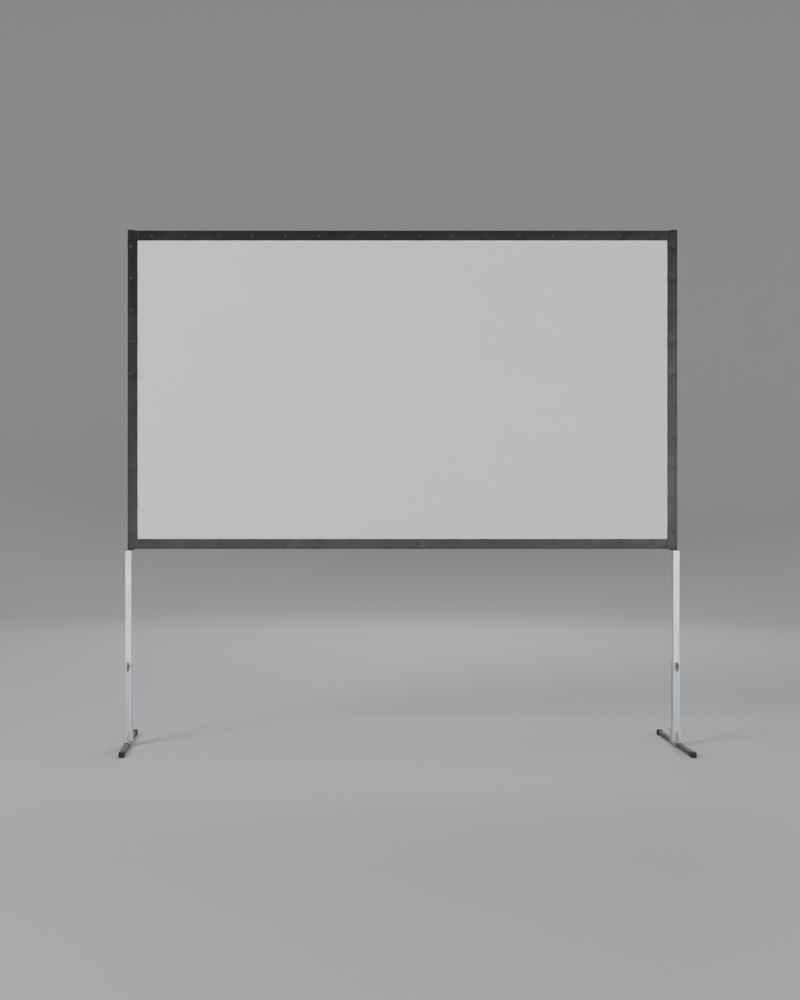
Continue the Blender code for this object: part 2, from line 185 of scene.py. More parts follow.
def roundEdges(piece, size, steps, test):
    # bevels the edges that pass a test
    openEdit(piece, "EDGE")
    pick(piece, test)
    bpy.ops.mesh.bevel(offset=size, segments=steps, affect="EDGES")
    closeEdit()


def soften(piece, size, steps=2, angle=35):
    # a small round on every sharp edge, so that it catches the light
    applied(piece, "BEVEL", width=size, segments=steps, limit_method="ANGLE", angle_limit=math.radians(angle))
    mergeDoubles(piece, tools["sliver"])
    evenNormals(piece)


def turnOut():
    # in the open edit mode, points every face outwards
    bpy.ops.mesh.select_all(action="SELECT")
    bpy.ops.mesh.normals_make_consistent(inside=False)


def boreThrough(piece, axis, wall):
    # makes a closed prism a tube
    openEdit(piece)
    pick(piece, facesAlong(axis))
    bpy.ops.mesh.inset(thickness=wall, depth=0)
    bpy.ops.mesh.bridge_edge_loops()
    turnOut()
    closeEdit()


def sinkMiddle(piece, rim, depth):
    # a shallow recess in the flat top face, inside a rim
    top = max(vertex.co.z for vertex in piece.data.vertices) - tools["double"]
    openEdit(piece)
    pick(piece, lambda face: face.normal.z > tools["edgeLean"] and face.calc_center_median().z > top)
    bpy.ops.mesh.inset(thickness=rim, depth=0)
    bpy.ops.mesh.inset(thickness=depth, depth=-depth)
    closeEdit()
    evenNormals(piece)


def turnProfile(profile, steps):
    # a round piece about Z: one point is drawn along the profile's (radius, height) points and spun
    bpy.ops.object.select_all(action="DESELECT")
    bpy.ops.mesh.primitive_plane_add(size=tools["seed"], location=(0, 0, 0))
    piece = bpy.context.object
    bpy.ops.object.mode_set(mode="EDIT")
    bpy.ops.mesh.select_mode(type="VERT")
    bpy.ops.mesh.select_all(action="SELECT")
    bpy.ops.mesh.merge(type="CENTER")
    bpy.ops.transform.translate(value=(profile[0][0], 0, profile[0][1]))
    for start, end in zip(profile, profile[1:]):
        step = (end[0] - start[0], 0, end[1] - start[1])
        bpy.ops.mesh.extrude_region_move(TRANSFORM_OT_translate={"value": step})
    bpy.ops.mesh.select_all(action="SELECT")
    bpy.ops.mesh.spin(steps=steps, angle=2 * math.pi, center=(0, 0, 0), axis=(0, 0, 1))
    bpy.ops.mesh.select_all(action="SELECT")
    bpy.ops.mesh.remove_doubles(threshold=tools["double"])
    turnOut()
    closeEdit()
    smoothFaces()
    return piece


def joined(pieces):
    bpy.ops.object.select_all(action="DESELECT")
    for piece in pieces:
        piece.select_set(True)
    bpy.context.view_layer.objects.active = pieces[0]
    if len(pieces) > 1:
        bpy.ops.object.join()
    return pieces[0]


def facing(place, along, up):
    # the matrix that turns local X along one direction and local Z up along another
    along, up = Vector(along), Vector(up)
    return Matrix.Translation(place) @ Matrix((along, up.cross(along), up)).transposed().to_4x4()


def ownCopy(original):
    piece = bpy.data.objects.new("copy", original.data.copy())
    bpy.context.scene.collection.objects.link(piece)
    return piece


def placed(pattern, matrix):
    # a copy of a pattern piece with its own mesh, moved to its place
    piece = ownCopy(pattern)
    piece.matrix_world = matrix
    alone(piece)
    return settle()


def moveTo(piece, place):
    alone(piece)
    piece.location = place
    return settle()


def discard(*patterns):
    for pattern in patterns:
        bpy.data.objects.remove(pattern)


def copyOfNode(name, size):
    # a CAD node's shape as one clean mesh with softened edges
    piece = ownCopy(nodes[name])
    piece.data.materials.clear()
    openEdit(piece)
    bpy.ops.mesh.select_all(action="SELECT")
    bpy.ops.mesh.remove_doubles(threshold=tools["double"])
    bpy.ops.mesh.dissolve_limited(angle_limit=math.radians(tools["flatAngle"]))
    closeEdit()
    soften(piece, size)
    return piece


def hand(piece, name, body, slot, paint, replaced=()):
    # names a finished piece and hangs it on its body
    piece.name = piece.data.name = name
    piece.data.materials.clear()
    piece.data.materials.append(paint)
    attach(piece, body)
    if replaced:
        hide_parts(*replaced)
    return piece


# Shared effects. A noise is given as its scale, detail and roughness

effectLook = {
    "lines": (1.0, 3.0, 0.6),
    "bands": (0.22, 2.0, 0.5),
    "smudgeDetail": (5.0, 0.62),
    "smudgeGain": (3.2, -1.1),
    "specks": (190.0, 4.0, 0.7),
    "dustPower": 3.0,
    "edgeSamples": 4,
    "edgeGain": 9.0,
    "chips": (160.0, 5.0, 0.7),
    "chipGain": (5.0, -2.2),
    "threadGain": (0.5, 0.5),
    "slubStretch": (60.0, 60.0, 900.0),
    "slubs": (1.0, 2.0, 0.5),
}
effectInputs = {
    "drawnLines": {"Stretch": (1, 1, 1)},
    "handling": {"Scale": 9.0},
    "edgeRub": {"Radius": 0.001, "Amount": 0.5},
    "plainWeave": {"Pitch": 0.001},
}


def newEffect(name, outputs):
    # a group that takes a place and its own values
    tree = bpy.data.node_groups.new(name, "ShaderNodeTree")
    tree.interface.new_socket("Vector", in_out="INPUT", socket_type="NodeSocketVector")
    for title, value in effectInputs[name].items():
        kind = "Vector" if isinstance(value, tuple) else "Float"
        socket = tree.interface.new_socket(title, in_out="INPUT", socket_type=f"NodeSocket{kind}")
        socket.default_value = value
    for title in outputs:
        tree.interface.new_socket(title, in_out="OUTPUT", socket_type="NodeSocketFloat")
    start, end = tree.nodes.new("NodeGroupInput"), tree.nodes.new("NodeGroupOutput")
    return tree, start.outputs, end.inputs


def feed(tree, socket, value):
    # a link from another node, or a fixed value
    if hasattr(value, "links"):
        tree.links.new(value, socket)
    else:
        socket.default_value = value


def wire(tree, *links):
    for start, end in links:
        tree.links.new(start, end)


def addMath(tree, operation, *values, clamp=False):
    node = tree.nodes.new("ShaderNodeMath")
    node.operation, node.use_clamp = operation, clamp
    for socket, value in zip(node.inputs, values):
        feed(tree, socket, value)
    return node.outputs[0]


def addNoise(tree, vector, scale, detail, roughness):
    node = tree.nodes.new("ShaderNodeTexNoise")
    for title, value in (("Vector", vector), ("Scale", scale), ("Detail", detail), ("Roughness", roughness)):
        feed(tree, node.inputs[title], value)
    return node.outputs["Fac"]


def addVectorMath(tree, operation, first, second):
    node = tree.nodes.new("ShaderNodeVectorMath")
    node.operation = operation
    feed(tree, node.inputs[0], first)
    feed(tree, node.inputs[1], second)
    return node.outputs


def splitVector(tree, vector):
    node = tree.nodes.new("ShaderNodeSeparateXYZ")
    tree.links.new(vector, node.inputs[0])
    return node.outputs


def trueNormal(tree):
    return tree.nodes.new("ShaderNodeNewGeometry").outputs["Normal"]


def makeEffects():
    effects, look = {}, effectLook

    # drawn lines along a tube or a brushed face
    tree, given, result = newEffect("drawnLines", ["Lines", "Bands"])
    spread = addVectorMath(tree, "MULTIPLY", given["Vector"], given["Stretch"])[0]
    wire(tree, (addNoise(tree, spread, *look["lines"]), result["Lines"]),
         (addNoise(tree, spread, *look["bands"]), result["Bands"]))
    effects["drawnLines"] = tree

    # smudges from handling, and dust that settles on what faces up
    tree, given, result = newEffect("handling", ["Smudges", "Dust"])
    blots = addNoise(tree, given["Vector"], given["Scale"], *look["smudgeDetail"])
    smudges = addMath(tree, "MULTIPLY_ADD", blots, *look["smudgeGain"], clamp=True)
    upward = addMath(tree, "MAXIMUM", splitVector(tree, trueNormal(tree))["Z"], 0.0)
    specks = addNoise(tree, given["Vector"], *look["specks"])
    dust = addMath(tree, "MULTIPLY", addMath(tree, "POWER", upward, look["dustPower"]), specks, clamp=True)
    wire(tree, (smudges, result["Smudges"]), (dust, result["Dust"]))
    effects["handling"] = tree

    # rubbed edges: where a rounded normal leaves the true one, broken up by noise
    tree, given, result = newEffect("edgeRub", ["Rub"])
    rounded = tree.nodes.new("ShaderNodeBevel")
    rounded.samples = look["edgeSamples"]
    tree.links.new(given["Radius"], rounded.inputs["Radius"])
    alike = addVectorMath(tree, "DOT_PRODUCT", rounded.outputs[0], trueNormal(tree))["Value"]
    edge = addMath(tree, "MULTIPLY", addMath(tree, "SUBTRACT", 1.0, alike), look["edgeGain"], clamp=True)
    chips = addMath(tree, "MULTIPLY_ADD", addNoise(tree, given["Vector"], *look["chips"]), *look["chipGain"],
                    clamp=True)
    rub = addMath(tree, "MULTIPLY", addMath(tree, "MULTIPLY", edge, chips), given["Amount"], clamp=True)
    wire(tree, (rub, result["Rub"]))
    effects["edgeRub"] = tree

    # plain weave: threads over and under, at a pitch in metres
    tree, given, result = newEffect("plainWeave", ["Threads", "Slubs"])
    turns = addMath(tree, "DIVIDE", math.pi, given["Pitch"])
    place = splitVector(tree, given["Vector"])
    across, upright = (addMath(tree, "SINE", addMath(tree, "MULTIPLY", place[axis], turns)) for axis in "XZ")
    threads = addMath(tree, "MULTIPLY_ADD", addMath(tree, "MULTIPLY", across, upright), *look["threadGain"])
    spread = addVectorMath(tree, "MULTIPLY", given["Vector"], look["slubStretch"])[0]
    slubs = addNoise(tree, spread, *look["slubs"])
    wire(tree, (threads, result["Threads"]), (slubs, result["Slubs"]))
    effects["plainWeave"] = tree
    return effects


# Materials

def newPaint(name, look, metallic=0.0):
    paint = bpy.data.materials.new(name)
    paint.use_nodes = True
    tree = paint.node_tree
    shader = tree.nodes["Principled BSDF"]
    shader.inputs["Base Color"].default_value = (*look["light"], 1)
    shader.inputs["Roughness"].default_value = look["rough"][0]
    shader.inputs["Metallic"].default_value = metallic
    shader.inputs["Specular IOR Level"].default_value = look.get("level", 0.5)
    where = tree.nodes.new("ShaderNodeTexCoord").outputs["Object"]
    return paint, tree, shader, where


def useEffect(tree, effect, where, **values):
    node = tree.nodes.new("ShaderNodeGroup")
    node.node_tree = effect
    tree.links.new(where, node.inputs["Vector"])
    for title, value in values.items():
        node.inputs[title].default_value = value
    return node.outputs


def remap(tree, value, low, high):
    node = tree.nodes.new("ShaderNodeMapRange")
    node.inputs["To Min"].default_value, node.inputs["To Max"].default_value = low, high
    tree.links.new(value, node.inputs["Value"])
    return node.outputs["Result"]


def blendTones(tree, share, first, second):
    node = tree.nodes.new("ShaderNodeMix")
    node.data_type = "RGBA"
    tree.links.new(share, node.inputs["Factor"])
    for socket, tone in zip(node.inputs[6:8], (first, second)):
        feed(tree, socket, tone if hasattr(tone, "links") else (*tone, 1))
    return node.outputs[2]


def addBump(tree, shader, height, depth, strength=1.0):
    node = tree.nodes.new("ShaderNodeBump")
    node.inputs["Distance"].default_value = depth
    node.inputs["Strength"].default_value = strength
    tree.links.new(height, node.inputs["Height"])
    tree.links.new(node.outputs["Normal"], shader.inputs["Normal"])


metalFinish = {
    "aluminium": {"light": (0.87, 0.885, 0.91), "dark": (0.70, 0.725, 0.76), "rough": (0.26, 0.42)},
    # the sleeves' aluminium, painted darker and bluer: painted shade and a painted bluish reflection on the
    # lower legs
    "sleeve": {"light": (0.64, 0.675, 0.72), "dark": (0.50, 0.535, 0.58), "rough": (0.28, 0.44)},
    "zinc": {"light": (0.70, 0.70, 0.68), "dark": (0.50, 0.50, 0.49), "rough": (0.24, 0.44)},
    "steel": {"light": (0.52, 0.52, 0.53), "dark": (0.36, 0.36, 0.37), "rough": (0.20, 0.36)},
}
metalWear = {"smudgeScale": 11.0, "smudgeRough": 0.12, "dust": 0.35, "dustTone": (0.45, 0.44, 0.42)}
darkWear = {"dustTone": (0.20, 0.19, 0.18)}
metalPaints = {
    # name, finish, stretch of its lines, depth of its lines
    "aluminiumX": ("satinAluminiumX", "aluminium", (6.0, 1100.0, 1100.0), 0.00002),
    "aluminiumZ": ("satinAluminiumZ", "aluminium", (1100.0, 1100.0, 6.0), 0.00002),
    # the sleeves' paint carries painted shade and a painted bluish tint
    "sleeve": ("shadedSleeveAluminium", "sleeve", (900.0, 900.0, 5.0), 0.00002),
    "zinc": ("brightZinc", "zinc", (260.0, 260.0, 260.0), 0.00002),
    "weld": ("weldBead", "steel", (420.0, 420.0, 420.0), 0.0004),
    "steel": ("turnedSteel", "steel", (900.0, 60.0, 900.0), 0.00002),
}


def drawnMetal(effects, name, finish, stretch, depth):
    # satin metal with lines along its length and a few smudges
    look, wear = metalFinish[finish], metalWear
    paint, tree, shader, where = newPaint(name, look, metallic=1.0)
    lines = useEffect(tree, effects["drawnLines"], where, Stretch=stretch)
    marks = useEffect(tree, effects["handling"], where, Scale=wear["smudgeScale"])
    tone = blendTones(tree, lines["Bands"], look["dark"], look["light"])
    dusty = blendTones(tree, remap(tree, marks["Dust"], 0.0, wear["dust"]), tone, wear["dustTone"])
    rough = addMath(tree, "ADD", remap(tree, lines["Lines"], *look["rough"]),
                    remap(tree, marks["Smudges"], 0.0, wear["smudgeRough"]))
    wire(tree, (dusty, shader.inputs["Base Color"]), (rough, shader.inputs["Roughness"]))
    addBump(tree, shader, lines["Lines"], depth)
    return paint


plasticWear = {"worn": (0.09, 0.09, 0.09), "dust": 0.5, "level": 0.4, "smudgeScale": 26.0, "rubRadius": 0.0012,
               "rubAmount": 0.35, "depth": 0.00006}
wornFinish = {
    "charcoalCoat": {"dark": (0.040, 0.042, 0.047), "light": (0.062, 0.064, 0.069), "worn": (0.42, 0.42, 0.43),
                     "dust": 0.30, "rough": (0.36, 0.55), "smudgeScale": 14.0, "rubRadius": 0.0014,
                     "rubAmount": 0.9, "rubMetal": 0.8, "grain": (420.0, 3.0, 0.5), "depth": 0.00008},
    "snapLacquer": {"dark": (0.013, 0.013, 0.014), "light": (0.026, 0.026, 0.027), "worn": (0.16, 0.14, 0.11),
                    "rough": (0.26, 0.5), "level": 0.6, "smudgeScale": 42.0, "rubRadius": 0.0008,
                    "rubAmount": 0.5, "grain": (700.0, 3.0, 0.6), "depth": 0.00002},
    "plugPlastic": {**plasticWear, "dark": (0.020, 0.020, 0.021), "light": (0.038, 0.038, 0.0397),
                    "rough": (0.42, 0.58), "grain": (900.0, 4.0, 0.7)},
    "knobPlastic": {**plasticWear, "dark": (0.095, 0.097, 0.101), "light": (0.1655, 0.1689, 0.1757),
                    "rough": (0.34, 0.5), "grain": (1300.0, 4.0, 0.7)},
    "footRubber": {**plasticWear, "dark": (0.014, 0.014, 0.014), "light": (0.0278, 0.0278, 0.0278),
                   "rough": (0.62, 0.8), "grain": (620.0, 4.0, 0.7)},
}


def wornPaint(effects, name):
    # a coat, lacquer, plastic or rubber with a grain, smudged by hands and rubbed at its edges
    look = wornFinish[name]
    paint, tree, shader, where = newPaint(name, look)
    marks = useEffect(tree, effects["handling"], where, Scale=look["smudgeScale"])
    rub = useEffect(tree, effects["edgeRub"], where, Radius=look["rubRadius"], Amount=look["rubAmount"])["Rub"]
    tone = blendTones(tree, marks["Smudges"], look["dark"], look["light"])
    tone = blendTones(tree, rub, tone, look["worn"])
    if "dust" in look:
        tone = blendTones(tree, remap(tree, marks["Dust"], 0.0, look["dust"]), tone, darkWear["dustTone"])
    if "rubMetal" in look:
        wire(tree, (remap(tree, rub, 0.0, look["rubMetal"]), shader.inputs["Metallic"]))
    wire(tree, (tone, shader.inputs["Base Color"]),
         (remap(tree, marks["Smudges"], *look["rough"]), shader.inputs["Roughness"]))
    addBump(tree, shader, addNoise(tree, where, *look["grain"]), look["depth"])
    return paint


wovenFinish = {
    # matte pale grey-white cloth with a fine weave
    "screenCloth": {"light": (0.785, 0.793, 0.803), "dark": (0.735, 0.745, 0.757), "mark": (0.60, 0.61, 0.63),
                    "markShare": 0.10, "rough": (0.84, 0.96), "level": 0.25, "sheen": 0.05,
                    "threadPitch": 0.0007, "clouds": (1.6, 3.0, 0.5), "depth": 0.00003, "strength": 0.7},
    # black webbing with a thin coating that gives it a soft sheen
    "borderWebbing": {"light": (0.011, 0.0113, 0.0125), "dark": (0.006, 0.0062, 0.007),
                      "mark": (0.05, 0.051, 0.054), "markShare": 0.08, "rough": (0.29, 0.38),
                      "threadPitch": 0.0012, "smudgeScale": 5.0, "depth": 0.00005, "strength": 0.8},
}


def wovenPaint(effects, name):
    # the screen is clouded and marked by its slubs, the webbing toned by its slubs and marked by smudges
    look = wovenFinish[name]
    paint, tree, shader, where = newPaint(name, look)
    weave = useEffect(tree, effects["plainWeave"], where, Pitch=look["threadPitch"])
    if "clouds" in look:
        base, marks = addNoise(tree, where, *look["clouds"]), weave["Slubs"]
        shader.inputs["Sheen Weight"].default_value = look["sheen"]
    else:
        smudged = useEffect(tree, effects["handling"], where, Scale=look["smudgeScale"])
        base, marks = weave["Slubs"], smudged["Smudges"]
    tone = blendTones(tree, base, look["dark"], look["light"])
    marked = blendTones(tree, remap(tree, marks, 0.0, look["markShare"]), tone, look["mark"])
    wire(tree, (marked, shader.inputs["Base Color"]),
         (remap(tree, marks, *look["rough"]), shader.inputs["Roughness"]))
    addBump(tree, shader, weave["Threads"], look["depth"], look["strength"])
    return paint


threadLook = {
    "light": (0.050, 0.050, 0.053),
    "dark": (0.015, 0.015, 0.016),
    "rough": (0.65, 0.85),
    "level": 0.3,
    "fibres": (1500.0, 1500.0, 1500.0),
    "depth": 0.00005,
}


def seamThread(effects):
    look = threadLook
    paint, tree, shader, where = newPaint("seamThread", look)
    lines = useEffect(tree, effects["drawnLines"], where, Stretch=look["fibres"])
    tone = blendTones(tree, lines["Lines"], look["dark"], look["light"])
    wire(tree, (tone, shader.inputs["Base Color"]),
         (remap(tree, lines["Bands"], *look["rough"]), shader.inputs["Roughness"]))
    addBump(tree, shader, lines["Lines"], look["depth"])
    return paint


def makePaints():
    effects = makeEffects()
    paints = {title: drawnMetal(effects, *values) for title, values in metalPaints.items()}
    for title, name in (("coat", "charcoalCoat"), ("snap", "snapLacquer"), ("plastic", "plugPlastic"),
                        ("knob", "knobPlastic"), ("rubber", "footRubber")):
        paints[title] = wornPaint(effects, name)
    paints["screen"] = wovenPaint(effects, "screenCloth")
    paints["border"] = wovenPaint(effects, "borderWebbing")
    paints["thread"] = seamThread(effects)
    return paints


# Main sizes of the screen, in metres

screen = {
    "halfWidth": 1.3718,
    "low": 0.985,
    "high": 2.5746,
    "borderWidth": 0.0508,
    "sideMiddle": 1.354825,
    "sideInner": 1.33895,
    "sideGap": 0.0006,
    "legMiddle": 1.3688,
    "legLow": 0.0284,
    "legHigh": 0.9764,
    "tube": 0.03175,
    "tubeWall": 0.0018,
    "tubeCorner": 0.0026,
    "sections": 4,
    "sectionGap": 0.0003,
    "firstPivot": -1.33465,
    "pivotPitch": 0.667325,
    "pivotRise": 0.020175,
    "railLevels": {"top": 2.546725, "bottom": 1.012875},
}
sides = {"left": -1, "right": 1}
inward = {"top": -1, "bottom": 1}
ends = {"Front": -1, "Rear": 1}


def pivotPlace(level, number):
    # even hinges sit on the rail's inner face, odd ones on its outer face
    away = inward[level] if number % 2 == 0 else -inward[level]
    height = screen["railLevels"][level] + away * screen["pivotRise"]
    return Vector((screen["firstPivot"] + number * screen["pivotPitch"], 0, height))


# Square tubes, drawn along Z and turned to their place

tubeShape = {"cornerSteps": 5, "endRound": 0.0003, "endSteps": 2, "endAngle": 60}


def makeTube(size, wall, corner, low, high):
    half = size / 2
    piece = addBox((-half, -half, low), (half, half, high))
    roundEdges(piece, corner, tubeShape["cornerSteps"], runsAlong(2))
    boreThrough(piece, 2, wall)
    soften(piece, tubeShape["endRound"], tubeShape["endSteps"], tubeShape["endAngle"])
    return piece


def makeFrameTubes(paints):
    size, wall, corner = screen["tube"], screen["tubeWall"], screen["tubeCorner"]
    gap, reach = screen["sectionGap"], screen["sideInner"] - screen["sideGap"]
    last = screen["sections"]
    for level, height in screen["railLevels"].items():
        for number in range(1, last + 1):
            start = -reach if number == 1 else pivotPlace(level, number - 1).x + gap
            end = reach if number == last else pivotPlace(level, number).x - gap
            drawn = makeTube(size, wall, corner, start, end)
            rail = placed(drawn, facing((0, 0, height), (0, 0, -1), (1, 0, 0)))
            discard(drawn)
            hand(rail, f"{level}RailTube{number}", f"{level}_{number}", "aluminium_tube", paints["aluminiumX"],
                 [f"{level}_rail_{number}"])
    for side, way in sides.items():
        for title, node, middle, low, high in (
                ("SideTube", "side_tube", screen["sideMiddle"], screen["low"], screen["high"]),
                ("UpperLeg", "upper_leg", screen["legMiddle"], screen["legLow"], screen["legHigh"])):
            tube = moveTo(makeTube(size, wall, corner, low, high), (way * middle, 0, 0))
            hand(tube, f"{side}{title}", f"{side}_side", "aluminium_tube", paints["aluminiumZ"],
                 [f"{side}_{node}"])


# Hinge leaves, riveted to the tubes

leaf = {
    "width": 0.026,
    "length": 0.045,
    "root": 0.0044,
    "thickness": 0.0016,
    "rise": 0.0043,
    "round": 0.0003,
    "endRound": 0.006,
    "endSteps": 6,
    "knuckleSides": 28,
    "knuckleRadius": 0.0038,
    "knuckleRound": 0.00025,
    "knuckleGap": 0.00015,
    "middleKnuckle": 0.009,
    "bore": 0.0023,
    "tongueStart": 0.0009,
    "tongueLap": 0.0006,
    "tongueInset": 0.0003,
    "tongueRound": 0.0002,
    "rivets": [(0.0125, -0.0068), (0.0125, 0.0068), (0.0245, 0.0), (0.0372, -0.0052), (0.0372, 0.0052)],
    "rivetRadius": 0.0024,
    "rivetRise": 0.0011,
    "rivetSink": 0.0002,
    "rivetLip": 0.00015,
    "rivetSteps": 18,
    "domeShares": [(0.93, 0.45), (0.72, 0.78), (0.40, 0.96), (0.0, 1.0)],       # of the radius and of the rise
}


def makeKnuckle(low, high):
    knuckle = addCylinder(leaf["knuckleSides"], leaf["knuckleRadius"], low, high, axis=1)
    boreThrough(knuckle, 1, leaf["knuckleRadius"] - leaf["bore"])
    soften(knuckle, leaf["knuckleRound"])
    return knuckle


def makeLeafPattern(outer):
    # an outer leaf has two knuckles, an inner leaf the one between them
    half, middle, spare = leaf["width"] / 2, leaf["middleKnuckle"] / 2, leaf["knuckleGap"]
    low, high = -leaf["rise"], -leaf["rise"] + leaf["thickness"]
    plate = addBox((leaf["root"], -half, low), (leaf["length"], half, high))
    roundEdges(plate, leaf["endRound"], leaf["endSteps"],
               lambda edge: runsAlong(2)(edge) and edge.verts[0].co.x > leaf["length"] / 2)
    soften(plate, leaf["round"])
    spans = [(-half, -middle - spare), (middle + spare, half)] if outer else [(-middle + spare, middle - spare)]
    parts, inset = [plate], leaf["tongueInset"]
    for start, end in spans:
        tongue = addBox((leaf["tongueStart"], start + inset, low + inset),
                        (leaf["root"] + leaf["tongueLap"], end - inset, high - leaf["tongueRound"]))
        soften(tongue, leaf["tongueRound"])
        parts += [makeKnuckle(start, end), tongue]
    rim, rise, sink = leaf["rivetRadius"], leaf["rivetRise"], leaf["rivetSink"]
    dome = [(0.0, -sink), (rim, -sink), (rim, leaf["rivetLip"])]
    dome += [(rim * out, rise * up) for out, up in leaf["domeShares"]]
    rivet = turnProfile(dome, leaf["rivetSteps"])
    parts += [placed(rivet, Matrix.Translation((x, y, high))) for x, y in leaf["rivets"]]
    discard(rivet)
    return joined(parts)


def makeHinges(paints):
    patterns = {True: makeLeafPattern(True), False: makeLeafPattern(False)}
    last = screen["sections"]
    for level in screen["railLevels"]:
        for number in range(last + 1):
            place = pivotPlace(level, number)
            up = inward[level] if number % 2 == 0 else -inward[level]
            if number < last:
                piece = placed(patterns[False], facing(place, (1, 0, 0), (0, 0, up)))
                hand(piece, f"{level}Leaf{number}Right", f"{level}_{number + 1}", "plated_steel",
                     paints["zinc"])
            if number > 0:
                piece = placed(patterns[number < last], facing(place, (-1, 0, 0), (0, 0, up)))
                hand(piece, f"{level}Leaf{number}Left", f"{level}_{number}", "plated_steel", paints["zinc"])
        for side, way in sides.items():
            place = pivotPlace(level, 0 if way < 0 else last)
            piece = placed(patterns[True], facing(place, (0, 0, inward[level]), (-way, 0, 0)))
            hand(piece, f"{level}{side.capitalize()}CornerLeaf", f"{side}_side", "plated_steel", paints["zinc"])
    discard(*patterns.values())


pin = {
    "radius": 0.002,
    "reach": 0.0133,
    "headRadius": 0.0032,
    "head": 0.0012,
    "dome": 0.0004,
    "chamfer": 0.0002,
    "crown": 0.0001,
    "crownShares": (0.85, 0.5),
    "steps": 20,
}


def makePins(paints):
    reach, wide, chamfer = pin["reach"], pin["headRadius"], pin["chamfer"]
    tip = reach + pin["head"]
    outer, inner = pin["crownShares"]
    half = [(pin["radius"], reach), (wide - chamfer, reach), (wide, reach + chamfer), (wide, tip - pin["dome"]),
            (wide * outer, tip - pin["crown"]), (wide * inner, tip), (0.0, tip)]
    pattern = turnProfile([(r, -z) for r, z in reversed(half)] + half, pin["steps"])
    last = screen["sections"]
    for level in screen["railLevels"]:
        for number in range(last + 1):
            piece = placed(pattern, facing(pivotPlace(level, number), (1, 0, 0), (0, 1, 0)))
            body, node = f"{level}_{number}", f"{level}_hinge_pin_{number}"
            if number in (0, last):
                side = "left" if number == 0 else "right"
                body, node = f"{side}_side", f"{level}_{side}_corner_pin"
            hand(piece, f"{level}HingePin{number}", body, "pin_steel", paints["steel"], [node])
    discard(pattern)


# Snap fasteners: posts on the tubes, black caps on the border

snap = {
    "perSection": 4,
    "perSide": 10,
    "tubeFace": -0.015875,
    "capFace": -0.01990,
    "capRadius": 0.0074,
    "capRise": 0.0019,
    "capSink": 0.0003,
    "capLip": 0.0004,
    "capShares": [(0.93, 0.52), (0.80, 0.70), (0.76, 0.62), (0.70, 0.66), (0.50, 0.90), (0.25, 0.99),
                  (0.0, 1.0)],
    "postProfile": [(0.0, -0.0002), (0.0068, -0.0002), (0.0068, 0.0003), (0.0062, 0.0006), (0.0044, 0.0008),
                    (0.0040, 0.0011), (0.0041, 0.0019), (0.0046, 0.0022), (0.0046, 0.0025), (0.0039, 0.00265),
                    (0.0018, 0.0027), (0.0, 0.0026)],
    "steps": 22,
}


def railSnaps():
    step = screen["pivotPitch"] / snap["perSection"]
    count = snap["perSection"] * screen["sections"]
    return [screen["firstPivot"] + (i + 0.5) * step for i in range(count)]


def sideSnaps():
    step = (screen["high"] - screen["low"]) / snap["perSide"]
    return [screen["low"] + (i + 0.5) * step for i in range(snap["perSide"])]


def makeSnaps(paints):
    post = turnProfile(snap["postProfile"], snap["steps"])
    wide, rise, sink, lip = snap["capRadius"], snap["capRise"], snap["capSink"], snap["capLip"]
    outline = [(0.0, -sink), (wide - lip, -sink), (wide, 0.0), (wide, lip)]
    outline += [(wide * out, rise * up) for out, up in snap["capShares"]]
    cap = turnProfile(outline, snap["steps"])

    def row(pattern, face, places, *tags):
        parts = [placed(pattern, facing((x, face, z), (1, 0, 0), (0, -1, 0))) for x, z in places]
        return hand(joined(parts), *tags)

    def postRow(places, name, body):
        return row(post, snap["tubeFace"], places, name, body, "plated_steel", paints["zinc"])

    def capRow(places, name, body):
        return row(cap, snap["capFace"], places, name, body, "pin_steel", paints["snap"])

    for level, height in screen["railLevels"].items():
        spots = [(x, height) for x in railSnaps()]
        for number in range(screen["sections"]):
            own = spots[number * snap["perSection"]:(number + 1) * snap["perSection"]]
            postRow(own, f"{level}SnapPosts{number + 1}", f"{level}_{number + 1}")
        foldFlat(capRow(spots, f"{level}SnapCaps", "left_side"))
    for side, way in sides.items():
        spots = [(way * screen["sideMiddle"], z) for z in sideSnaps()]
        postRow(spots, f"{side}SnapPosts", f"{side}_side")
        capRow(spots, f"{side}SnapCaps", f"{side}_side")
    discard(post, cap)


def foldFlat(piece):
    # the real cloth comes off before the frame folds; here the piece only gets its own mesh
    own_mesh(piece)


# The black border: four strips of coated webbing

border = {
    "back": -0.018875,
    "thickness": 0.001,
    "inner": 1.321,
    "cornerGap": 0.0003,
    "pitch": 0.0055,
    "across": 12,
    "hem": 0.008,
    "hemRise": 0.00035,
    "hemStep": 0.0006,
    "pillow": 0.0009,
    "dent": 0.021,
    "endFlat": 0.012,
    "endShare": 0.35,
    "scallop": 0.0007,
    "scallopDent": 0.035,
    "scallopStart": 0.03,
    "edgeRound": 0.0003,
    "edgeAngle": 60,
    "stitchSides": 6,
    "stitchRadius": 0.00032,
    "stitchLength": 0.0034,
    "stitchPitch": 0.0046,
    "stitchMargin": 0.004,
    "stitchInset": (0.0045, 0.0085),
    "stitchEnd": (1.12, 0.45, 0.45),
    "foldKeep": 0.0507,
    "foldFrom": -1.321,
}


def nearestSnap(along, snaps):
    return min(abs(along - place) for place in snaps)


def stripFront(across, away, atEnd):
    # how far the strip's front stands out: pillowed between the snaps, thicker at its hems, flat at its ends
    half = screen["borderWidth"] / 2
    pull = 1 - math.exp(-(away / border["dent"]) ** 2)
    crown = max(0.0, 1 - (across / half) ** 2)
    hem = 1 / (1 + math.exp((half - abs(across) - border["hem"]) / border["hemStep"]))
    rise = border["pillow"] * pull * crown + border["hemRise"] * hem
    return rise * min(1.0, atEnd / border["endFlat"] + border["endShare"])


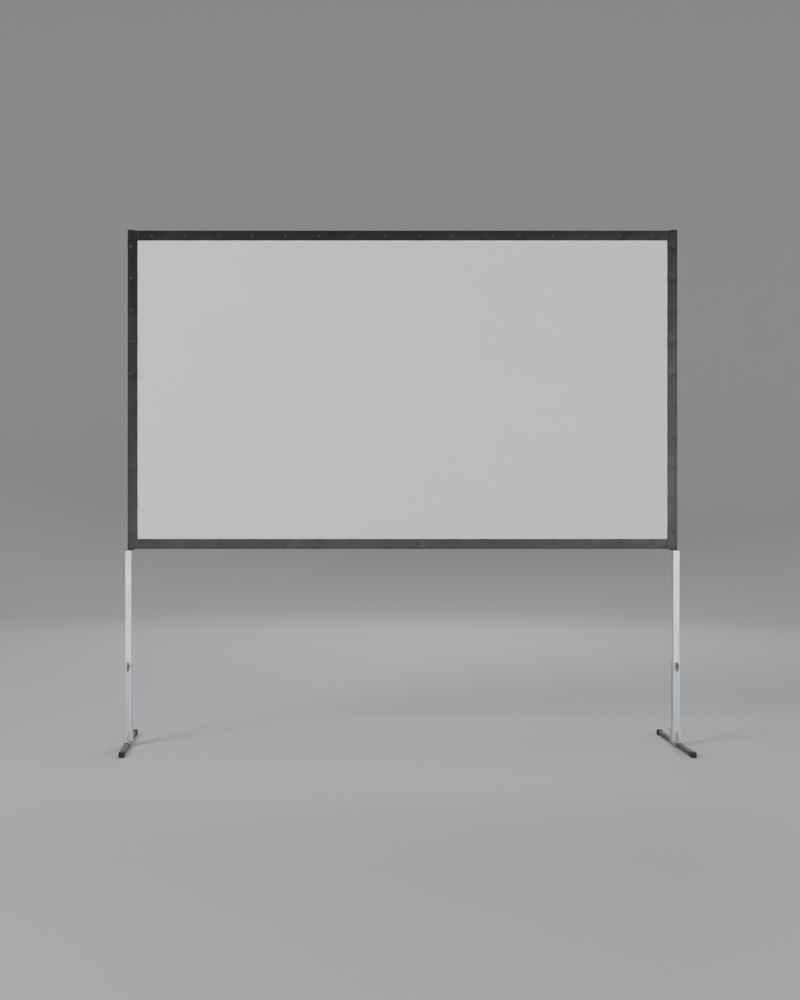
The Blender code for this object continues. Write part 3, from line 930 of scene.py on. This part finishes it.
def stripSpan(low, high):
    # a strip's two sizes, the one that it runs along (0 for X, 1 for Z) and its middle across
    size = (high[0] - low[0], high[1] - low[1])
    along = 0 if size[0] > size[1] else 1
    return size, along, (low[1 - along] + high[1 - along]) / 2


def makeStrip(low, high, snaps):
    # a strip between two corners in X and Z, with its snaps along its length
    size, along, centre = stripSpan(low, high)
    counts = [border["across"], border["across"]]
    counts[along] = round(max(size) / border["pitch"])
    strip = addGrid(counts, size, ((low[0] + high[0]) / 2, 0, (low[1] + high[1]) / 2))
    half = screen["borderWidth"] / 2
    for vertex in strip.data.vertices:
        place = (vertex.co.x, vertex.co.z)
        across = place[1 - along] - centre
        away = nearestSnap(place[along], snaps)
        atEnd = min(place[along] - low[along], high[along] - place[along])
        slack = 1 - math.exp(-(away / border["scallopDent"]) ** 2)
        straight = max(0.0, min(1.0, (atEnd - screen["borderWidth"]) / border["scallopStart"]))
        vertex.co[2 if along == 0 else 0] -= border["scallop"] * slack * straight * (across / half) ** 3
        vertex.co.y = -stripFront(across, away, atEnd)
    applied(strip, "SOLIDIFY", thickness=border["thickness"], offset=-1)
    strip.data.transform(Matrix.Translation((0, border["back"] - border["thickness"], 0)))
    soften(strip, border["edgeRound"], 2, border["edgeAngle"])
    return strip


def makeStitch():
    # one stitch along X, its ends drawn in
    half = border["stitchLength"] / 2
    stitch = addCylinder(border["stitchSides"], border["stitchRadius"], -half, half, axis=0)
    openEdit(stitch)
    pick(stitch, facesAlong(0))
    bpy.ops.mesh.extrude_region_move(TRANSFORM_OT_translate={"value": (0, 0, 0)})
    bpy.ops.transform.resize(value=border["stitchEnd"])
    turnOut()
    closeEdit()
    bpy.ops.object.shade_smooth()
    return stitch


def makeStitchRows(low, high, snaps):
    # two rows of stitches beside each hem
    size, along, centre = stripSpan(low, high)
    pitch, margin = border["stitchPitch"], border["stitchMargin"]
    length = max(size) - 2 * margin
    count = int(length / pitch)
    stitch = makeStitch()
    applied(stitch, "ARRAY", use_relative_offset=False, use_constant_offset=True,
            constant_offset_displace=(pitch, 0, 0), count=count)
    first = low[along] + margin + (length - (count - 1) * pitch) / 2
    half = screen["borderWidth"] / 2
    rows = []
    for edge in (-1, 1):
        for inset in border["stitchInset"]:
            row = placed(stitch, Matrix.Translation((first, 0, edge * (half - inset))))
            for vertex in row.data.vertices:
                away = nearestSnap(vertex.co.x, snaps)
                atEnd = min(vertex.co.x - low[along], high[along] - vertex.co.x)
                vertex.co.y += border["back"] - border["thickness"] - stripFront(vertex.co.z, away, atEnd)
            rows.append(row)
    discard(stitch)
    sewn = joined(rows)
    if along == 1:
        sewn.data.transform(facing((0, 0, 0), (0, 0, 1), (-1, 0, 0)))
        return moveTo(sewn, (centre, 0, 0))
    return moveTo(sewn, (0, 0, centre))


def makeBorder(paints):
    wide, inner, spare = screen["borderWidth"], border["inner"], border["cornerGap"]

    def makeEdge(title, body, low, high, snaps):
        strip = hand(makeStrip(low, high, snaps), f"{title}BorderStrip", body, "border", paints["border"],
                     [f"{title}_border"])
        sewn = hand(makeStitchRows(low, high, snaps), f"{title}BorderStitches", body, "border",
                    paints["thread"])
        return strip, sewn

    for side, way in sides.items():
        edges = sorted((way * screen["halfWidth"], way * inner))
        makeEdge(side, f"{side}_side", (edges[0], screen["low"]), (edges[1], screen["high"]), sideSnaps())
    for level in screen["railLevels"]:
        edge = screen["high"] if level == "top" else screen["low"]
        edges = sorted((edge, edge + inward[level] * wide))
        low, high = (-inner + spare, edges[0]), (inner - spare, edges[1])
        for piece in makeEdge(level, "left_side", low, high, railSnaps()):
            foldFlat(piece)


# The projection surface, sewn to the strips by its edges

cloth = {
    "reach": 1.333,
    "low": 1.0238,
    "high": 2.5358,
    "front": -0.018855,
    "thickness": 0.00026,
    "pitch": 0.022,
    "seam": 0.004,
    "fade": 0.12,
    "ripple": 0.0011,
    "longWave": (3.1, 1.4, 0.6),        # radians a metre along X and Z, and where it starts
    "shortWave": (-2.2, 7.3),
    "shortShare": 0.4,
    "waveShare": 0.75,
    "tugShare": 0.5,
    "tugReach": 0.05,
    "tugPitch": 0.1668,
    "smoothAngle": 40,
}


def clothWave(x, z, room):
    # faint slack in the middle, and small tugs from the snaps near the edges
    alongX, alongZ, start = cloth["longWave"]
    shortX, shortZ = cloth["shortWave"]
    short = cloth["shortShare"]
    wave = (0.5 + 0.5 * math.sin(alongX * x + alongZ * z + start)) * (
        1 - short + short * math.sin(shortX * x + shortZ * z))
    tugs = math.exp(-max(0.0, room) / cloth["tugReach"]) * (
        0.5 + 0.5 * math.sin(2 * math.pi * x / cloth["tugPitch"]))
    return cloth["waveShare"] * wave + cloth["tugShare"] * tugs


def makeCloth(paints):
    reach, tall = cloth["reach"], cloth["high"] - cloth["low"]
    counts = [round(side / cloth["pitch"]) for side in (2 * reach, tall)]
    surface = addGrid(counts, (2 * reach, tall), (0, 0, (cloth["low"] + cloth["high"]) / 2))
    inside = border["inner"] - cloth["seam"]
    lowInside, highInside = screen["low"] + screen["borderWidth"], screen["high"] - screen["borderWidth"]
    for vertex in surface.data.vertices:
        x, _, z = vertex.co
        room = min(inside - abs(x), z - lowInside, highInside - z)
        fade = min(1.0, max(0.0, room / cloth["fade"]))
        fade = fade * fade * (3 - 2 * fade)
        vertex.co.y = cloth["front"] - fade * cloth["ripple"] * clothWave(x, z, room)
    applied(surface, "SOLIDIFY", thickness=cloth["thickness"], offset=-1)
    smoothFaces(cloth["smoothAngle"])
    hand(surface, "projectionSheet", "left_side", "surface", paints["screen"], ["projection_surface"])
    foldFlat(surface)


# Plugs in the tubes' ends

plug = {
    "tubeHead": 0.005,
    "legHead": 0.0033,
    "gap": 0.0003,
    "corner": 0.0027,
    "cornerSteps": 5,
    "round": 0.0007,
    "rim": 0.0013,
    "sink": 0.0004,
    "spigot": 0.022,
    "spigotWide": 0.02755,
    "spigotCorner": 0.0012,
    "spigotRound": 0.0005,
    "angle": 50,
}


def makePlug(head):
    half, inner = screen["tube"] / 2, plug["spigotWide"] / 2
    cover = addBox((-half, -half, plug["gap"]), (half, half, head))
    roundEdges(cover, plug["corner"], plug["cornerSteps"], runsAlong(2))
    soften(cover, plug["round"], 3, plug["angle"])
    sinkMiddle(cover, plug["rim"], plug["sink"])
    spigot = addBox((-inner, -inner, -plug["spigot"]), (inner, inner, head / 2))
    roundEdges(spigot, plug["spigotCorner"], 3, runsAlong(2))
    soften(spigot, plug["spigotRound"], 2, plug["angle"])
    return joined([cover, spigot])


def makePlugs(paints):
    tubePlug, legPlug = makePlug(plug["tubeHead"]), makePlug(plug["legHead"])
    for side, way in sides.items():
        x = way * screen["sideMiddle"]
        for title, node, pattern, place, up in (
                ("TopPlug", "top_plug", tubePlug, (x, 0, screen["high"]), 1),
                ("BottomPlug", "bottom_plug", tubePlug, (x, 0, screen["low"]), -1),
                ("LegCap", "leg_cap", legPlug, (way * screen["legMiddle"], 0, screen["legHigh"]), 1)):
            piece = placed(pattern, facing(place, (up, 0, 0), (0, 0, up)))
            hand(piece, f"{side}{title}", f"{side}_side", "black_plastic", paints["plastic"],
                 [f"{side}_{node}"])
    discard(tubePlug, legPlug)


# Sleeves that the upper legs slide in, each with a boss for its lock knob

sleeve = {
    "wide": 0.03835,
    "wall": 0.0029,
    "low": 0.0284,
    "high": 0.4199,
    "knobHeight": 0.3989,
    "boss": 0.024,
    "bossDepth": 0.005,
    "bossLap": 0.0012,
    "bossCorner": 0.004,
    "bossSteps": 5,
    "bossRound": 0.0008,
    "bossAngle": 50,
    "rim": 0.0018,
    "groove": (0.0005, -0.0004),
}


def makeSleeves(paints):
    front, half, height = -sleeve["wide"] / 2, sleeve["boss"] / 2, sleeve["knobHeight"]
    for side, way in sides.items():
        tube = makeTube(sleeve["wide"], sleeve["wall"], screen["tubeCorner"], sleeve["low"], sleeve["high"])
        boss = addBox((-half, front - sleeve["bossDepth"], height - half),
                      (half, front + sleeve["bossLap"], height + half))
        roundEdges(boss, sleeve["bossCorner"], sleeve["bossSteps"], runsAlong(1))
        openEdit(boss)
        pick(boss, facesAlong(1, -1))
        bpy.ops.mesh.inset(thickness=sleeve["rim"], depth=0)
        bpy.ops.mesh.inset(thickness=sleeve["groove"][0], depth=sleeve["groove"][1])
        closeEdit()
        soften(boss, sleeve["bossRound"], 3, sleeve["bossAngle"])
        piece = moveTo(joined([tube, boss]), (way * screen["legMiddle"], 0, 0))
        hand(piece, f"{side}LowerLeg", f"{side}_foot", "aluminium_tube", paints["sleeve"],
             [f"{side}_lower_leg"])


# Wing knobs with their screws

knob = {
    "gap": 0.0003,
    "hubRadius": 0.0085,
    "hubDepth": 0.012,
    "hubSteps": 32,
    "hubFoot": [(-0.0012, 0.0003), (-0.0003, 0.0008), (0.0, 0.0018)],   # past the radius, and height
    "hubShares": [(0.94, 0.62), (0.86, 0.86), (0.72, 0.98)],            # of the radius and of the depth
    "hubDish": [(0.46, 0.0003), (0.42, -0.0004), (0.0, -0.0005)],       # share of the radius, past the depth
    "wingSpan": 0.046,
    "wingWide": 0.0105,
    "wingDeep": 0.009,
    "wingLift": 0.007,
    "wingCuts": 5,
    "wingWaist": (0.62, 0.55, 0.92, 1.06),      # narrowest, swell, where it ends, widest
    "wingDepths": (0.72, 0.36),                 # at the hub, and what the tip has more
    "wingDip": 0.0008,
    "wingStretch": 1.05,
    "smoothing": 2,
    "screwRadius": 0.0039,
    "screwSteps": 20,
    "screwLap": 0.001,
    "threadPitch": 0.00125,
    "threadDepth": 0.0006,
    "threadStart": 0.0003,
    "threadSpare": 0.0005,
    "threadShares": (0.45, 0.95),
    "lockReach": 0.008,
    "clampReach": 0.013,
    "bracketFace": 0.022175,
    "clampHeights": (1.065, 1.245),
}


def makeWing():
    half, wide, deep = knob["wingSpan"] / 2, knob["wingWide"], knob["wingDeep"]
    low = knob["wingLift"] + knob["gap"]
    wing = addBox((-half, -wide / 2, low), (half, wide / 2, low + deep))
    openEdit(wing, "EDGE")
    pick(wing, runsAlong(0))
    bpy.ops.mesh.subdivide(number_cuts=knob["wingCuts"])
    closeEdit()
    waist, swell, swellEnd, widest = knob["wingWaist"]
    atHub, atTip = knob["wingDepths"]
    middle = low + deep / 2
    for vertex in wing.data.vertices:
        out = abs(vertex.co.x) / half
        vertex.co.y *= min(widest, waist + swell * math.sin(math.pi * min(1.0, out * swellEnd)))
        vertex.co.z = middle + (vertex.co.z - middle) * (atHub + atTip * out) - knob["wingDip"] * (1 - out)
    applied(wing, "SUBSURF", levels=knob["smoothing"], render_levels=knob["smoothing"])
    bpy.ops.object.shade_smooth()
    wing.data.transform(Matrix.Scale(knob["wingStretch"], 4, (1, 0, 0)))
    return wing


def makeScrew(reach):
    thick, pitch, start, lap = knob["screwRadius"], knob["threadPitch"], knob["threadStart"], knob["screwLap"]
    root = thick - knob["threadDepth"]
    crest, valley = knob["threadShares"]
    thread = [(0.0, -reach), (root, -reach)]
    for turn in range(int((reach - knob["threadSpare"]) / pitch)):
        base = -reach + start + turn * pitch
        thread += [(thick, base + pitch * crest), (root, base + pitch * valley)]
    return turnProfile(thread + [(root, lap), (0.0, lap)], knob["screwSteps"])


def makeKnob(reach):
    # along Z, its hub standing on z = 0 and its wings along X
    wide, deep = knob["hubRadius"], knob["hubDepth"]
    outline = [(0.0, knob["gap"])]
    outline += [(wide + out, height) for out, height in knob["hubFoot"]]
    outline += [(wide * out, deep * height) for out, height in knob["hubShares"]]
    outline += [(wide * out, deep + rise) for out, rise in knob["hubDish"]]
    return joined([turnProfile(outline, knob["hubSteps"]), makeWing(), makeScrew(reach)])


def makeKnobs(paints):
    lock, clamp = makeKnob(knob["lockReach"]), makeKnob(knob["clampReach"])
    for side, way in sides.items():
        face = -sleeve["wide"] / 2 - sleeve["bossDepth"]
        place = (way * screen["legMiddle"], face, sleeve["knobHeight"])
        piece = placed(lock, facing(place, (0, 0, 1), (0, -1, 0)))
        name = f"{side}_height_knob"
        hand(piece, f"{side}HeightKnob", name, "knob_plastic", paints["knob"], [name])
        for number, height in enumerate(knob["clampHeights"], 1):
            place = (way * screen["sideMiddle"], knob["bracketFace"], height)
            piece = placed(clamp, facing(place, (0, 0, 1), (0, 1, 0)))
            name = f"{side}_clamp_knob_{number}"
            hand(piece, f"{side}ClampKnob{number}", name, "knob_plastic", paints["knob"], [name])
    discard(lock, clamp)


# Bolts with hexagon heads on washers

bolt = {
    "radius": 0.003,
    "chamfer": 0.0004,
    "lap": 0.001,
    "steps": 16,
    "headRadius": 0.0062,
    "head": 0.0033,
    "headInset": 0.0007,
    "headRise": 0.0004,
    "headRim": (0.0006, -0.0003),
    "headRound": 0.0002,
    "headAngle": 30,
    "nut": 0.0042,
    "washer": 0.0009,
    "washerRadius": 0.0070,
    "washerRound": 0.0002,
    "washerGap": 0.0001,
    "washerSteps": 28,
    "shortReach": 0.012,
    "longReach": 0.0356,
    "nutPlace": 0.0296,
    "bracketHeights": (0.935, 0.835),
    "footFace": 0.0148,
    "footPlace": 0.042,
    "footHeight": 0.0158,
}


def makeHex(low, high):
    head = addCylinder(6, bolt["headRadius"], low, high)
    openEdit(head)
    pick(head, facesAlong(2, 1))
    bpy.ops.mesh.inset(thickness=bolt["headInset"], depth=0)
    bpy.ops.transform.translate(value=(0, 0, bolt["headRise"]))
    bpy.ops.mesh.inset(thickness=bolt["headRim"][0], depth=bolt["headRim"][1])
    closeEdit()
    soften(head, bolt["headRound"], 2, bolt["headAngle"])
    return head


def makeBolt(reach, nutPlace=None):
    # along Z, its washer standing on z = 0, and a second washer and a nut on its far end
    radius, wide, washer = bolt["radius"], bolt["washerRadius"], bolt["washer"]
    bevel, gap, chamfer, top = bolt["washerRound"], bolt["washerGap"], bolt["chamfer"], washer + bolt["lap"]
    ring = turnProfile([(radius, gap), (wide - bevel, gap), (wide, gap + bevel), (wide, washer - bevel),
                        (wide - bevel, washer), (radius, washer), (radius, gap)], bolt["washerSteps"])
    shank = turnProfile([(0.0, -reach), (radius - chamfer, -reach), (radius, -reach + chamfer), (radius, top),
                         (0.0, top)], bolt["steps"])
    parts = [ring, shank, makeHex(washer, washer + bolt["head"] - bolt["headRise"])]
    if nutPlace:
        far = joined([makeHex(washer, washer + bolt["nut"]), placed(ring, Matrix.Identity(4))])
        parts.append(placed(far, Matrix.Translation((0, 0, -nutPlace)) @ Matrix.Rotation(math.pi, 4, "X")))
        discard(far)
    return joined(parts)


def makeBolts(paints):
    short, long = makeBolt(bolt["shortReach"]), makeBolt(bolt["longReach"], bolt["nutPlace"])
    for side, way in sides.items():
        for number, height in enumerate(bolt["bracketHeights"], 1):
            place = (way * screen["legMiddle"], knob["bracketFace"], height)
            piece = placed(short, facing(place, (1, 0, 0), (0, 1, 0)))
            hand(piece, f"{side}BracketBolt{number}", f"{side}_side", "pin_steel", paints["steel"],
                 [f"{side}_bracket_bolt_{number}"])
        for end, forward in ends.items():
            face = way * (screen["legMiddle"] + bolt["footFace"])
            place = (face, forward * bolt["footPlace"], bolt["footHeight"])
            piece = placed(long, facing(place, (0, 1, 0), (way, 0, 0)))
            hand(piece, f"{side}{end}FootBolt", f"{side}_foot", "pin_steel", paints["steel"],
                 [f"{side}_{end.lower()}_foot_bolt"])
    discard(short, long)


# Feet: a coated tube with rubber ends, under a welded socket

feet = {
    "tube": 0.022,
    "wall": 0.0018,
    "corner": 0.0025,
    "end": 0.3317,
    "middle": 0.0138,
    "capWide": 0.0276,
    "capLength": 0.035,
    "capReach": 0.337,
    "capCorner": 0.005,
    "capSteps": 6,
    "capWall": 0.0025,
    "capEnd": 0.005,
    "capRound": 0.0009,
    "capAngle": 45,
    "capRim": 0.0028,
    "capSink": 0.0007,
    "socketRound": 0.0007,
    "bracketRound": 0.0008,
}


def makeFootCap():
    # along Z, open at z = 0
    half, length = feet["capWide"] / 2, feet["capLength"]
    cap = addBox((-half, -half, 0), (half, half, length))
    roundEdges(cap, feet["capCorner"], feet["capSteps"], runsAlong(2))
    openEdit(cap)
    pick(cap, facesAlong(2, -1))
    bpy.ops.mesh.inset(thickness=feet["capWall"], depth=0)
    bpy.ops.mesh.extrude_region_move(TRANSFORM_OT_translate={"value": (0, 0, length - feet["capEnd"])})
    closeEdit()
    soften(cap, feet["capRound"], 3, feet["capAngle"])
    sinkMiddle(cap, feet["capRim"], feet["capSink"])
    return cap


def makeFeet(paints):
    cap = makeFootCap()
    for side, way in sides.items():
        x = way * screen["legMiddle"]
        drawn = makeTube(feet["tube"], feet["wall"], feet["corner"], -feet["end"], feet["end"])
        tube = placed(drawn, facing((x, 0, feet["middle"]), (1, 0, 0), (0, 1, 0)))
        discard(drawn)
        hand(tube, f"{side}FootTube", f"{side}_foot", "charcoal_paint", paints["coat"], [f"{side}_foot_tube"])
        for end, forward in ends.items():
            start = forward * (feet["capReach"] - feet["capLength"])
            piece = placed(cap, facing((x, start, feet["middle"]), (1, 0, 0), (0, forward, 0)))
            hand(piece, f"{side}{end}FootCap", f"{side}_foot", "black_rubber", paints["rubber"],
                 [f"{side}_{end.lower()}_foot_cap"])
        for title, node, body, size, slot, paint in (
                ("FootSocket", "foot_socket", "foot", feet["socketRound"], "plated_steel", "zinc"),
                ("LegBracket", "leg_bracket", "side", feet["bracketRound"], "charcoal_paint", "coat")):
            piece = copyOfNode(f"{side}_{node}", size)
            hand(piece, f"{side}{title}", f"{side}_{body}", slot, paints[paint], [f"{side}_{node}"])
    discard(cap)


# Weld beads round the sockets' collars and along their gussets

weld = {
    "wide": 0.0013,
    "rise": 0.0018,
    "sink": 0.0002,
    "base": 0.0281,
    "corner": 0.0036,
    "round": 0.0009,
    "collarHalf": 0.022975,
    "gussetHalf": 0.0025,
    "gussetEnd": 0.0585,
}


def makeWelds(paints):
    wide, half, flank, base = weld["wide"], weld["collarHalf"], weld["gussetHalf"], weld["base"]
    low, high = base - weld["sink"], base + weld["rise"]
    parts = [makeTube(2 * (half + wide), wide, weld["corner"], low, high)]
    for forward in ends.values():
        for way in sides.values():
            xs = sorted((way * flank, way * (flank + wide)))
            ys = sorted((forward * half, forward * weld["gussetEnd"]))
            bead = addBox((xs[0], ys[0], low), (xs[1], ys[1], high))
            roundEdges(bead, weld["round"], 3, lambda edge: runsAlong(1)(edge) and edge.verts[0].co.z > base
                       and abs(edge.verts[0].co.x) > flank + wide / 2)
            smoothFaces()
            parts.append(bead)
    pattern = joined(parts)
    for side, way in sides.items():
        beads = placed(pattern, Matrix.Translation((way * screen["legMiddle"], 0, 0)))
        hand(beads, f"{side}SocketWelds", f"{side}_foot", "plated_steel", paints["weld"])
    discard(pattern)


# Plain pale studio

studio = {
    "floorRadius": 11.0,
    "floorSides": 128,
    "wallHeight": 8.2,
    "coveRadius": 3.5,
    "coveSteps": 16,
    "floorTone": (0.52, 0.52, 0.53),
    "floorRough": 0.9,
    "sky": (0.30, 0.30, 0.31),
    "lights": [
        # name, place, aimed at, width, height, watts, spread in degrees
        ("keyPanel", (-5.7, -5.4, 5.5), (0.0, 0.0, 1.5), 3.0, 3.0, 460, 180),
        ("lowPanel", (0.3, -8.4, 0.72), (0.3, 0.0, 0.9), 8.0, 1.0, 24, 70),
        ("sidePanel", (3.8, -8.0, 1.95), (1.2, 0.0, 1.7), 1.2, 1.1, 60, 180),
        ("fillPanel", (6.0, -5.0, 2.6), (0.2, 0.0, 1.4), 2.4, 2.4, 120, 180),
        ("backPanel", (1.0, 6.5, 5.2), (0.0, 0.0, 1.2), 4.0, 3.0, 260, 180),
    ],
}


def makeFloor():
    # a round floor that curves up into a wall
    floor = addCylinder(studio["floorSides"], studio["floorRadius"], 0, studio["wallHeight"])
    floor.name = "studioFloor"
    openEdit(floor)
    pick(floor, facesAlong(2, 1))
    bpy.ops.mesh.delete(type="FACE")
    closeEdit()
    openEdit(floor, "EDGE")
    pick(floor, lambda edge: all(abs(vertex.co.z) < tools["double"] for vertex in edge.verts))
    bpy.ops.mesh.bevel(offset=studio["coveRadius"], segments=studio["coveSteps"], affect="EDGES")
    bpy.ops.mesh.select_all(action="SELECT")
    bpy.ops.mesh.normals_make_consistent(inside=True)
    closeEdit()
    bpy.ops.object.shade_smooth()
    paint = bpy.data.materials.new("studioPaper")
    paint.use_nodes = True
    shader = paint.node_tree.nodes["Principled BSDF"]
    shader.inputs["Base Color"].default_value = (*studio["floorTone"], 1)
    shader.inputs["Roughness"].default_value = studio["floorRough"]
    floor.data.materials.append(paint)


def makeLights():
    world = bpy.data.worlds.new("studioSky")
    world.use_nodes = True
    world.node_tree.nodes["Background"].inputs["Color"].default_value = (*studio["sky"], 1)
    bpy.context.scene.world = world
    for name, place, target, width, height, watts, spread in studio["lights"]:
        aim = (Vector(target) - Vector(place)).to_track_quat("-Z", "Y").to_euler()
        bpy.ops.object.light_add(type="AREA", location=place, rotation=aim)
        light = bpy.context.object
        light.name = name
        light.data.shape = "RECTANGLE"
        light.data.size, light.data.size_y = width, height
        light.data.energy = watts
        light.data.spread = math.radians(spread)
        light.visible_camera = False


makeCamera()
paints = makePaints()
print("camera and materials made")
makeFrameTubes(paints)
makeHinges(paints)
makePins(paints)
print("frame, hinges and pins made")
makeSnaps(paints)
makeBorder(paints)
makeCloth(paints)
print("border and projection surface made")
makePlugs(paints)
makeSleeves(paints)
makeKnobs(paints)
makeBolts(paints)
makeFeet(paints)
makeWelds(paints)
print("legs, knobs and feet made")
makeFloor()
makeLights()
print("studio made")
